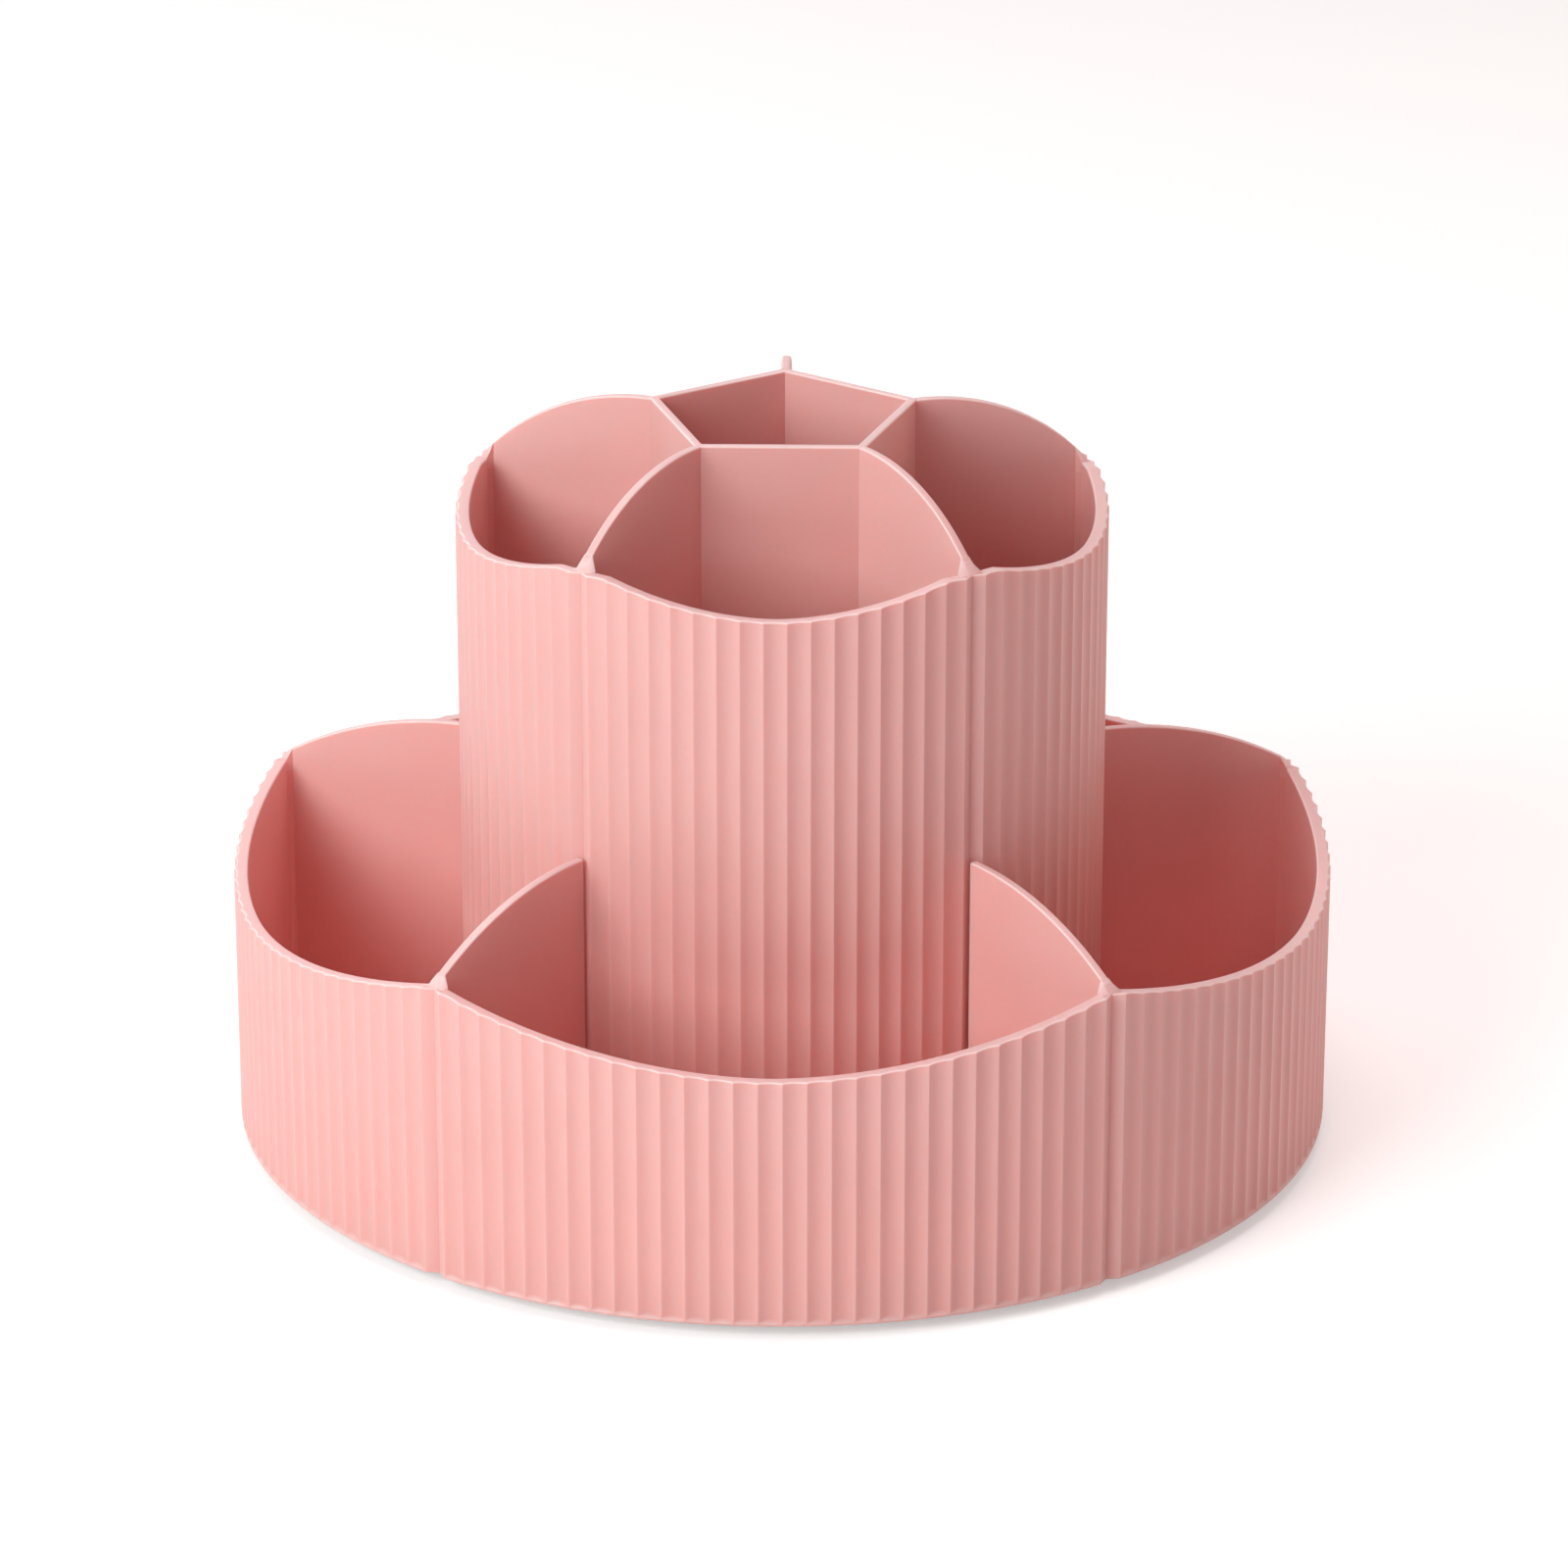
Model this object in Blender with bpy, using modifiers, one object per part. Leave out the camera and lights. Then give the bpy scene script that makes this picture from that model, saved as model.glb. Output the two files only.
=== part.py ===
"""Two-tier rotating pen holder: a fluted tray and a fluted cup on a ball-bearing turntable.

Metres, +Z up. The origin is on the turning axis at desk level. The front lobe faces -Y.
Heights are measured from the desk unless a name says otherwise.
"""

import math

import bmesh
import bpy
from mathutils import Matrix

# Layout that both tiers share
lobe_count = 5
flute_facets = 3
rim_curve_power = 1.7
divider_thickness = 0.0020
corner_chamfer = 0.0045
bite_share = 0.4

# Fits and clearances
seat_gap = 0.0003
turning_clearance = 0.0015
cage_clearance = 0.00075
edge_step = 0.0003
overrun = 0.002
weld_distance = 0.00001

# Lower tray
tray_radius = 0.125
tray_wall = 0.0032
tray_height = 0.0705
tray_rim_dip = 0.0106
tray_rim_crest = 0.0028
tray_edge_height = 0.0030
tray_floor = 0.0025
tray_flutes = 29
tray_flute_depth = 0.0007
tray_notch_depth = 0.0015
tray_arch_rise = 0.0141
tray_arch_crown_inset = 0.0045
tray_arch_end_rise = 0.0020
tray_rib_drop = 0.0040
locating_rib_height = 0.0030
locating_rib_wall = 0.0020
underside_rib_thickness = 0.0015

# Upper cup
cup_radius = 0.0732
cup_wall = 0.0032
cup_height = 0.1505
cup_rim_dip = 0.0060
cup_rim_crest = 0.0067
cup_flutes = 17
cup_flute_depth = 0.0007
cup_notch_depth = 0.0013
cup_floor_raise = 0.0375
cup_floor = 0.0025
cup_rib_drop = 0.0120
pentagon_radius = 0.0304
pentagon_rise = 0.0180
cup_arch_crown_inset = 0.0026
cup_arch_end_rise = 0.0023
boss_circle_radius = 0.044
boss_radius = 0.0045

# Turntable base
base_radius = 0.100
base_thickness = 0.0030
base_rim_wall = 0.0020
hub_wall = 0.0025
base_rib_count = 10

# Ball bearing
ball_count = 12
ball_radius = 0.0030
race_radius = 0.060
race_land = 0.0040
race_floor = 0.00095
race_groove_depth = 0.00095
cage_half_width = 0.0070

# Spindle and its fixings
spindle_radius = 0.0060
washer_radius = 0.0080
washer_thickness = 0.0010
spindle_screw_length = 0.0090
spindle_shank_radius = 0.00175
spindle_head_radius = 0.0038
cup_screw_length = 0.0120
cup_shank_radius = 0.0015
cup_head_radius = 0.0028
head_height = 0.0020
head_inset = 0.0002

# Feet
foot_count = 5
foot_radius = 0.0070
foot_thickness = 0.0022
foot_stand = 0.0015
foot_edge = 0.0004
foot_circle_radius = 0.088

# Facets of the round forms
disc_steps = 48
small_steps = 16
foot_steps = 20
groove_facets = 4
arch_facets = 12
ball_segments = 12
ball_rings = 6
pocket_rings = 8

# Angles
full_turn = 2 * math.pi
lobe_angle = full_turn / lobe_count
half_lobe = lobe_angle / 2
front_angle = -math.pi / 2
smooth_angle = math.radians(30)

# Heights that follow from the sizes above, from the desk upwards
base_bottom = foot_stand
base_top = base_bottom + base_thickness
foot_recess_top = foot_thickness + seat_gap
race_land_top = base_top + race_floor + race_groove_depth
ball_height = base_top + race_floor + seat_gap + ball_radius
tray_underside = ball_height + ball_radius + seat_gap + race_floor
tray_land_bottom = tray_underside - race_floor - race_groove_depth
tray_floor_top = tray_underside + tray_floor
tray_rib_bottom = tray_underside - tray_rib_drop
base_rim_top = tray_rib_bottom - turning_clearance
hub_top = tray_underside - turning_clearance
cup_bottom = tray_floor_top + seat_gap
cup_underside = tray_floor_top + cup_floor_raise
cup_floor_top = cup_underside + cup_floor
pentagon_top = cup_height + pentagon_rise
spindle_head_bottom = base_bottom + head_inset
spindle_head_top = spindle_head_bottom + head_height
washer_bottom = spindle_head_top + seat_gap
washer_top = washer_bottom + washer_thickness
spindle_end = washer_top + seat_gap
hub_face = spindle_end + seat_gap
cup_head_top = tray_underside - seat_gap

# Radii that follow from the sizes above
cup_corner_radius = cup_radius - cup_wall - corner_chamfer
tray_divider_start = cup_radius + seat_gap
groove_radius = ball_radius + seat_gap
groove_half_width = math.sqrt(groove_radius ** 2 - (ball_height - race_land_top) ** 2)
hub_bore = spindle_radius + seat_gap
hub_recess = washer_radius + seat_gap
hub_radius = hub_recess + hub_wall
cage_inner = race_radius - cage_half_width
cage_outer = race_radius + cage_half_width


def clear_scene():
    """Take every object out of the file that is open."""
    for old in list(bpy.data.objects):
        bpy.data.objects.remove(old, do_unlink=True)


def new_collection(name, parent):
    """Make a named collection under another one."""
    made = bpy.data.collections.new(name)
    parent.children.link(made)
    return made


def plastic(name, color, roughness):
    """Moulded plastic with a satin surface."""
    material = bpy.data.materials.new(name)
    material.use_nodes = True
    shader = material.node_tree.nodes["Principled BSDF"]
    shader.inputs["Base Color"].default_value = color
    shader.inputs["Roughness"].default_value = roughness
    return material


def metal(name, color, roughness):
    """Bare metal."""
    material = plastic(name, color, roughness)
    material.node_tree.nodes["Principled BSDF"].inputs["Metallic"].default_value = 1.0
    return material


def make_guide(shape):
    """Mark a shape as a tool that is joined to or cut from a part."""
    shape.hide_render = True
    shape.display_type = 'WIRE'


def object_from_bmesh(name, form, collection):
    """Turn a bmesh into an object in a collection."""
    mesh = bpy.data.meshes.new(name)
    form.to_mesh(mesh)
    form.free()
    shape = bpy.data.objects.new(name, mesh)
    collection.objects.link(shape)
    return shape


def mesh_from_curve(outline, collection):
    """Replace a filled curve by a closed mesh in the same place."""
    name = outline.name
    place = outline.matrix_world.copy()
    evaluated = outline.evaluated_get(bpy.context.evaluated_depsgraph_get())
    mesh = bpy.data.meshes.new_from_object(evaluated)
    bpy.data.objects.remove(outline, do_unlink=True)
    form = bmesh.new()
    form.from_mesh(mesh)
    bmesh.ops.remove_doubles(form, verts=form.verts, dist=weld_distance)
    form.to_mesh(mesh)
    form.free()
    shape = bpy.data.objects.new(name, mesh)
    shape.matrix_world = place
    collection.objects.link(shape)
    return shape


def flat_outline(name, loops, thickness, place, collection):
    """A plate of even thickness from closed flat outlines, as a mesh."""
    curve = bpy.data.curves.new(name, 'CURVE')
    curve.dimensions = '2D'
    curve.fill_mode = 'BOTH'
    curve.extrude = thickness / 2
    for loop in loops:
        spline = curve.splines.new('POLY')
        spline.points.add(len(loop) - 1)
        spline.use_cyclic_u = True
        for point, (across, along) in zip(spline.points, loop):
            point.co = (across, along, 0.0, 1.0)
    outline = bpy.data.objects.new(name, curve)
    collection.objects.link(outline)
    outline.matrix_world = place
    bpy.context.view_layer.update()
    return mesh_from_curve(outline, collection)


def radial_plate(name, profile, thickness, angle, collection):
    """A plate that stands on a radius, from its outline in radius and height."""
    place = Matrix.Rotation(angle, 4, 'Z') @ Matrix.Rotation(math.pi / 2, 4, 'X')
    return flat_outline(name, [profile], thickness, place, collection)


def turned(name, profile, steps, collection):
    """A turned form; the profile runs out along the top and down the outer side."""
    points = [(radius, 0.0, height) for radius, height in profile]
    edges = [(index, index + 1) for index in range(len(points) - 1)]
    if profile[0][0] > 0.0:
        edges.append((len(points) - 1, 0))
    mesh = bpy.data.meshes.new(name)
    mesh.from_pydata(points, edges, [])
    shape = bpy.data.objects.new(name, mesh)
    collection.objects.link(shape)
    screw = shape.modifiers.new("Turn", 'SCREW')
    screw.steps = steps
    screw.render_steps = steps
    screw.use_merge_vertices = True
    screw.merge_threshold = weld_distance
    screw.use_smooth_shade = True
    return shape


def cylinder(name, radius, bottom, top, place, collection):
    """An upright cylinder between two heights."""
    form = bmesh.new()
    middle = Matrix.Translation((place[0], place[1], (bottom + top) / 2))
    bmesh.ops.create_cone(form, cap_ends=True, segments=small_steps, radius1=radius,
                          radius2=radius, depth=top - bottom, matrix=middle)
    return object_from_bmesh(name, form, collection)


def sphere(name, radius, rings, collection):
    """A ball about its own origin."""
    form = bmesh.new()
    bmesh.ops.create_uvsphere(form, u_segments=ball_segments, v_segments=rings, radius=radius)
    return object_from_bmesh(name, form, collection)


def loft(name, loops, collection):
    """A ring-shaped solid, skinned over closed loops of as many points each, with shared points welded."""
    form = bmesh.new()
    rings = [[form.verts.new(point) for point in loop] for loop in loops]
    for ring, following in zip(rings, rings[1:] + rings[:1]):
        for index in range(len(ring)):
            form.faces.new((ring[index - 1], ring[index], following[index], following[index - 1]))
    bmesh.ops.remove_doubles(form, verts=form.verts, dist=weld_distance)
    bmesh.ops.recalc_face_normals(form, faces=form.faces)
    return object_from_bmesh(name, form, collection)


def boolean(shape, guides, operation):
    """Join or cut a shape with every guide of a collection."""
    for guide in guides.objects:
        make_guide(guide)
    modifier = shape.modifiers.new(guides.name, 'BOOLEAN')
    modifier.operation = operation
    modifier.operand_type = 'COLLECTION'
    modifier.collection = guides
    modifier.solver = 'EXACT'


def finish(shape, material, parent):
    """Give a part its material, its parent and smooth shading between sharp edges."""
    shape.data.materials.append(material)
    shape.parent = parent
    if shape.data.polygons:
        shape.data.shade_smooth()
        shape.data.set_sharp_from_angle(angle=smooth_angle)


def around(count, start=front_angle):
    """Evenly spaced angles round the axis."""
    return [start + full_turn * index / count for index in range(count)]


def polar(radius, angle):
    """X and Y of a point at a radius and an angle."""
    return radius * math.cos(angle), radius * math.sin(angle)


def from_lobe_middle(angle):
    """Angle to the middle of the nearest lobe."""
    return (angle - front_angle + half_lobe) % lobe_angle - half_lobe


def notch_angles():
    """Angles of the notches between the lobes, where the dividers stand."""
    return [front_angle + half_lobe + lobe * lobe_angle for lobe in range(lobe_count)]


def fluted_outline(radius, flutes, flute_depth, notch_depth, face):
    """Outer angle, outer radius and inner angle of each point of a wall.

    Outside are hollow flutes, with a V notch between the lobes. The inner face has one point for
    each flute, and its first and last points in a lobe are where the filled corners begin.
    """
    pitch = lobe_angle / (flutes + 1)
    corner = corner_chamfer / face
    points = []
    for lobe in range(lobe_count):
        start = front_angle - half_lobe + lobe * lobe_angle
        points.append((start, radius - notch_depth, start))
        for flute in range(flutes):
            ridge = start + pitch * (flute + 1 / 2)
            inner = ridge if flute else start + corner
            for facet in range(flute_facets):
                share = facet / flute_facets
                hollow = flute_depth * 4 * share * (1 - share)
                points.append((ridge + pitch * share, radius - hollow, inner))
        points.append((start + pitch * (flutes + 1 / 2), radius, start + lobe_angle - corner))
    return points


def rim_height(angle, height, dip, crest):
    """Height of the wavy rim: level for an angle beside each notch, lowest in the middle of a lobe."""
    share = min(1.0, abs(from_lobe_middle(angle)) / (half_lobe - crest))
    return height - dip * (1 - share ** rim_curve_power)


def inner_radius(angle, face):
    """Radius of the smooth inner face, which fills the corners beside each divider."""
    to_notch = (half_lobe - abs(from_lobe_middle(angle))) * face
    return face - max(0.0, corner_chamfer - to_notch)


def fluted_wall(name, outline, face, bottom, rim, collection):
    """Wall of a tier: fluted outside, smooth inside, with a wavy rim of a height, dip and crest angle."""
    outer_low, outer_high, inner_high, inner_low = [], [], [], []
    for angle, radius, inner in outline:
        outer_low.append((*polar(radius, angle), bottom))
        outer_high.append((*polar(radius, angle), rim_height(angle, *rim)))
        inner_high.append((*polar(inner_radius(inner, face), inner), rim_height(inner, *rim)))
        inner_low.append((*polar(inner_radius(inner, face), inner), bottom))
    return loft(name, [outer_low, outer_high, inner_high, inner_low], collection)


def bite_radius(radius, wall, notch_depth):
    """Radius inside the wall at which floors, ribs and dividers end."""
    return radius - notch_depth - (wall - notch_depth) * bite_share


def arch(crown_radius, crown_height, end_radius, end_height, start_radius):
    """Top edge of a divider: an arc, level at its crown, from the outer end to the start."""
    reach = end_radius - crown_radius
    drop = crown_height - end_height
    bend = (reach ** 2 + drop ** 2) / (2 * drop)
    last = math.asin(reach / bend)
    first = -math.asin((crown_radius - start_radius) / bend)
    points = []
    for facet in range(arch_facets + 1):
        sweep = last + (first - last) * facet / arch_facets
        points.append((crown_radius + bend * math.sin(sweep), crown_height - bend * (1 - math.cos(sweep))))
    return points


def groove(side):
    """Ball groove across a race land, from inside outwards; side is -1 below the balls, 1 above."""
    opening = math.asin(groove_half_width / groove_radius)
    points = []
    for facet in range(groove_facets + 1):
        sweep = opening * (2 * facet / groove_facets - 1)
        points.append((
            race_radius + groove_radius * math.sin(sweep),
            ball_height + side * groove_radius * math.cos(sweep),
        ))
    return points


def build_tray(model, guides, material, parent):
    """Lower tray: fluted wall, floor, five arched dividers, race, spindle and ribs."""
    face = tray_radius - tray_wall
    end = bite_radius(tray_radius, tray_wall, tray_notch_depth)
    outline = fluted_outline(tray_radius, tray_flutes, tray_flute_depth, tray_notch_depth, face)
    rim = (tray_height, tray_rim_dip, tray_rim_crest / face)
    tray = fluted_wall("lower_tray", outline, face, tray_edge_height, rim, model)

    joins = new_collection("tray_joins", guides)
    rib_outer = cup_corner_radius - seat_gap
    rib_top = tray_floor_top + locating_rib_height
    pilot = spindle_shank_radius + seat_gap
    pilot_top = spindle_head_top + spindle_screw_length + seat_gap
    profile = [
        (0.0, tray_floor_top),
        (rib_outer - locating_rib_wall, tray_floor_top),
        (rib_outer - locating_rib_wall, rib_top),
        (rib_outer, rib_top),
        (rib_outer, tray_floor_top),
        (end, tray_floor_top),
        (end, tray_underside),
        (race_radius + race_land, tray_underside),
        (race_radius + race_land, tray_land_bottom),
        *reversed(groove(1)),
        (race_radius - race_land, tray_land_bottom),
        (race_radius - race_land, tray_underside),
        (spindle_radius, tray_underside),
        (spindle_radius, spindle_end),
        (pilot, spindle_end),
        (pilot, pilot_top),
        (0.0, pilot_top),
    ]
    turned("tray_floor_form", profile, disc_steps, joins)

    floor_middle = tray_underside + tray_floor / 2
    crown = tray_divider_start + tray_arch_crown_inset
    top_edge = arch(crown, tray_height + tray_arch_rise, face, tray_height + tray_arch_end_rise,
                    tray_divider_start)
    divider = [
        (tray_divider_start, floor_middle),
        (end, floor_middle),
        (end, tray_height - edge_step),
        *top_edge,
    ]
    for index, angle in enumerate(notch_angles(), 1):
        radial_plate(f"tray_divider_{index}", divider, divider_thickness, angle, joins)

    rib_start = cage_outer + turning_clearance
    rib = [
        (rib_start, tray_rib_bottom),
        (end, tray_rib_bottom),
        (end, floor_middle),
        (rib_start, floor_middle),
    ]
    for index, angle in enumerate(around(2 * lobe_count), 1):
        radial_plate(f"tray_rib_{index}", rib, underside_rib_thickness, angle, joins)
    boolean(tray, joins, 'UNION')

    cuts = new_collection("tray_cuts", guides)
    for index, angle in enumerate(notch_angles(), 1):
        cylinder(f"tray_screw_hole_{index}", cup_shank_radius + seat_gap, tray_underside - overrun,
                 tray_floor_top + overrun, polar(boss_circle_radius, angle), cuts)
    boolean(tray, cuts, 'DIFFERENCE')
    finish(tray, material, parent)


def build_cup(model, guides, material, parent):
    """Upper cup: fluted wall, raised floor, five arched dividers round a pentagon, screw bosses."""
    face = cup_radius - cup_wall
    end = bite_radius(cup_radius, cup_wall, cup_notch_depth)
    outline = fluted_outline(cup_radius, cup_flutes, cup_flute_depth, cup_notch_depth, face)
    rim = (cup_height, cup_rim_dip, cup_rim_crest / face)
    cup = fluted_wall("upper_cup", outline, face, cup_bottom, rim, model)

    joins = new_collection("cup_joins", guides)
    floor_middle = cup_underside + cup_floor / 2
    profile = [(0.0, cup_floor_top), (end, cup_floor_top), (end, cup_underside), (0.0, cup_underside)]
    turned("cup_floor_form", profile, disc_steps, joins)

    corner = divider_thickness / 2 / math.cos(half_lobe)
    loops = [
        [polar(pentagon_radius + corner, angle) for angle in notch_angles()],
        [polar(pentagon_radius - corner, angle) for angle in notch_angles()],
    ]
    pentagon_height = pentagon_top - floor_middle
    place = Matrix.Translation((0.0, 0.0, floor_middle + pentagon_height / 2))
    flat_outline("pentagon_form", loops, pentagon_height, place, joins)

    crown = pentagon_radius + cup_arch_crown_inset
    top_edge = arch(crown, pentagon_top - edge_step, face, cup_height + cup_arch_end_rise, pentagon_radius)
    divider = [
        (pentagon_radius, floor_middle),
        (end, floor_middle),
        (end, cup_height - edge_step),
        *top_edge,
    ]
    rib = [
        (boss_circle_radius, cup_underside - cup_rib_drop),
        (end, cup_underside - cup_rib_drop),
        (end, floor_middle),
        (boss_circle_radius, floor_middle),
    ]
    for index, angle in enumerate(notch_angles(), 1):
        radial_plate(f"cup_divider_{index}", divider, divider_thickness, angle, joins)
        radial_plate(f"cup_rib_{index}", rib, underside_rib_thickness, angle, joins)
        cylinder(f"cup_boss_{index}", boss_radius, cup_bottom, floor_middle,
                 polar(boss_circle_radius, angle), joins)
    boolean(cup, joins, 'UNION')

    cuts = new_collection("cup_cuts", guides)
    pilot_top = cup_head_top + cup_screw_length + seat_gap
    for index, angle in enumerate(notch_angles(), 1):
        cylinder(f"cup_pilot_{index}", cup_shank_radius + seat_gap, cup_bottom - overrun, pilot_top,
                 polar(boss_circle_radius, angle), cuts)
    boolean(cup, cuts, 'DIFFERENCE')
    finish(cup, material, parent)


def build_base(model, guides, material, parent):
    """Turntable base: disc with a hub, a ball race, a stiffening rim and foot recesses."""
    profile = [
        (hub_bore, hub_top),
        (hub_radius, hub_top),
        (hub_radius, base_top),
        (race_radius - race_land, base_top),
        (race_radius - race_land, race_land_top),
        *groove(-1),
        (race_radius + race_land, race_land_top),
        (race_radius + race_land, base_top),
        (base_radius - base_rim_wall, base_top),
        (base_radius - base_rim_wall, base_rim_top),
        (base_radius, base_rim_top),
        (base_radius, base_bottom),
        (hub_recess, base_bottom),
        (hub_recess, hub_face),
        (hub_bore, hub_face),
    ]
    base = turned("base_plate", profile, disc_steps, model)

    joins = new_collection("base_joins", guides)
    rib_start = (hub_recess + hub_radius) / 2
    rib_top = race_land_top - edge_step
    rib_root = (base_bottom + base_top) / 2
    rib_end = race_radius - (race_land + groove_half_width) / 2
    rib = [(rib_start, rib_root), (rib_end, rib_root), (rib_end, rib_top), (rib_start, rib_top)]
    for index, angle in enumerate(around(base_rib_count), 1):
        radial_plate(f"base_rib_{index}", rib, underside_rib_thickness, angle, joins)
    boolean(base, joins, 'UNION')

    cuts = new_collection("base_cuts", guides)
    for index, angle in enumerate(around(foot_count), 1):
        cylinder(f"foot_recess_{index}", foot_radius + seat_gap, base_bottom - overrun, foot_recess_top,
                 polar(foot_circle_radius, angle), cuts)
    boolean(base, cuts, 'DIFFERENCE')
    finish(base, material, parent)


def build_feet(model, material, parent):
    """Rubber pads that stand a little below the base."""
    profile = [
        (0.0, foot_thickness),
        (foot_radius, foot_thickness),
        (foot_radius, foot_edge),
        (foot_radius - foot_edge, 0.0),
        (0.0, 0.0),
    ]
    for index, angle in enumerate(around(foot_count), 1):
        foot = turned(f"foot_pad_{index}", profile, foot_steps, model)
        foot.location = (*polar(foot_circle_radius, angle), 0.0)
        finish(foot, material, parent)


def build_bearing(model, guides, cage_material, ball_material, parent):
    """Twelve steel balls in the pockets of a flat cage."""
    half = ball_height - race_land_top - cage_clearance
    profile = [
        (cage_inner, ball_height + half),
        (cage_outer, ball_height + half),
        (cage_outer, ball_height - half),
        (cage_inner, ball_height - half),
    ]
    cage = turned("ball_cage", profile, disc_steps, model)
    cuts = new_collection("cage_cuts", guides)
    for index, angle in enumerate(around(ball_count), 1):
        place = (*polar(race_radius, angle), ball_height)
        pocket = sphere(f"pocket_{index:02d}", groove_radius, pocket_rings, cuts)
        pocket.location = place
        ball = sphere(f"race_ball_{index:02d}", ball_radius, ball_rings, model)
        ball.location = place
        finish(ball, ball_material, parent)
    boolean(cage, cuts, 'DIFFERENCE')
    finish(cage, cage_material, parent)


def screw_profile(length, shank_radius, head_radius, head_top):
    """Pan-head screw that points up, with its head's top face at the given height."""
    tip = head_top + length
    head_edge = head_height / 4
    return [
        (0.0, tip),
        (shank_radius, tip - shank_radius),
        (shank_radius, head_top),
        (head_radius, head_top),
        (head_radius, head_top - head_height + head_edge),
        (head_radius - head_edge, head_top - head_height),
        (0.0, head_top - head_height),
    ]


def build_fixings(model, material, parent):
    """Spindle screw with its washer, and the screws that hold the cup on the tray."""
    profile = screw_profile(spindle_screw_length, spindle_shank_radius, spindle_head_radius,
                            spindle_head_top)
    finish(turned("spindle_screw", profile, small_steps, model), material, parent)

    hole = spindle_shank_radius + seat_gap
    profile = [
        (hole, washer_top),
        (washer_radius, washer_top),
        (washer_radius, washer_bottom),
        (hole, washer_bottom),
    ]
    finish(turned("spindle_washer", profile, foot_steps, model), material, parent)

    profile = screw_profile(cup_screw_length, cup_shank_radius, cup_head_radius, cup_head_top)
    for index, angle in enumerate(notch_angles(), 1):
        screw = turned(f"cup_screw_{index}", profile, small_steps, model)
        screw.location = (*polar(boss_circle_radius, angle), 0.0)
        finish(screw, material, parent)


def axis_empty(name, height, collection):
    """An empty on the turning axis, which the pieces of one body hang from."""
    empty = bpy.data.objects.new(name, None)
    empty.location = (0.0, 0.0, height)
    empty.empty_display_size = spindle_radius
    collection.objects.link(empty)
    return empty


def build():
    """Make the whole pen holder."""
    clear_scene()
    scene = bpy.context.scene.collection
    model = new_collection("rotating_pen_holder", scene)
    guides = new_collection("joins_and_cuts", scene)

    pink = plastic("pink_plastic", (0.80, 0.42, 0.40, 1.0), 0.42)
    base_pink = plastic("base_plastic", (0.74, 0.37, 0.35, 1.0), 0.55)
    rubber = plastic("foot_rubber", (0.06, 0.055, 0.055, 1.0), 0.85)
    nylon = plastic("cage_nylon", (0.80, 0.78, 0.72, 1.0), 0.45)
    ball_steel = metal("ball_steel", (0.70, 0.70, 0.72, 1.0), 0.12)
    zinc = metal("zinc_steel", (0.60, 0.61, 0.63, 1.0), 0.35)

    standing = axis_empty("standing_body", 0.0, model)
    turning = axis_empty("turning_body", 0.0, model)
    rolling = axis_empty("rolling_body", 0.0, model)

    build_base(model, guides, base_pink, standing)
    build_feet(model, rubber, standing)
    build_bearing(model, guides, nylon, ball_steel, rolling)
    build_tray(model, guides, pink, turning)
    build_cup(model, guides, pink, turning)
    build_fixings(model, zinc, turning)


build()
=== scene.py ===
# %% [markdown]
# Rotating pen holder: the looks.
# Two pink plastic mouldings, a wide fluted tray and a taller fluted cup, turn together on a flat
# base with a ball bearing. The working model holds every piece at its real size with its joints.
# This file gives each piece the surface that it shows: fine flutes, round rims, grain and light.
# A new piece is made in the same frame, in metres, and stands for the plainer one of the model.

# %% Load the working model
import math

import bmesh
import bpy
from mathutils import Matrix, Vector


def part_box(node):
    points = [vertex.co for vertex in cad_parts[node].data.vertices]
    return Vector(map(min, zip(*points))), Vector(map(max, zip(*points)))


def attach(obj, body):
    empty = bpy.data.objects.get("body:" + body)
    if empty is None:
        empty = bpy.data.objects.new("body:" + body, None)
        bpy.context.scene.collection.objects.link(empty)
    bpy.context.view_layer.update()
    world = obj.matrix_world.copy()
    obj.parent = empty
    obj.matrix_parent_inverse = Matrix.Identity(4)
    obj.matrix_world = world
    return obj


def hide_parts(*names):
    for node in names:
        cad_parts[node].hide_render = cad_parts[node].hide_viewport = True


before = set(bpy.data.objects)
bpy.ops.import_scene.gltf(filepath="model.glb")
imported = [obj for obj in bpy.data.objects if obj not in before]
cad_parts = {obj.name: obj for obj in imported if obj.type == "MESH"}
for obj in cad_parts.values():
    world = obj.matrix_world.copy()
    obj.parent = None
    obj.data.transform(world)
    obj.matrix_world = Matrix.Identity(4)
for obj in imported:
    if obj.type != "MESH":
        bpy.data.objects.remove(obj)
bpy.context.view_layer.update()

scene = bpy.context.scene

# %% [markdown]
# The camera.
# The photo was taken from a little above desk height with a long lens, so the ellipses of the rims
# stay flat and the front lobe hardly grows. Such a view could be set by eye. Here it comes from
# the sizes of the rims in the photo: a long lens, one and a half metres away, 21 degrees up. The
# object stands turned by about one degree, so the camera moves round by that angle instead.

# %% Camera
image_width = 1600
focal_length_pixels = 6698.6
axis_column = 798.2
sensor_width = 36.0
camera_distance = 1.4946
camera_elevation = math.radians(21.23)
camera_turn = math.radians(1.2)
look_height = 0.0793

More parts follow.
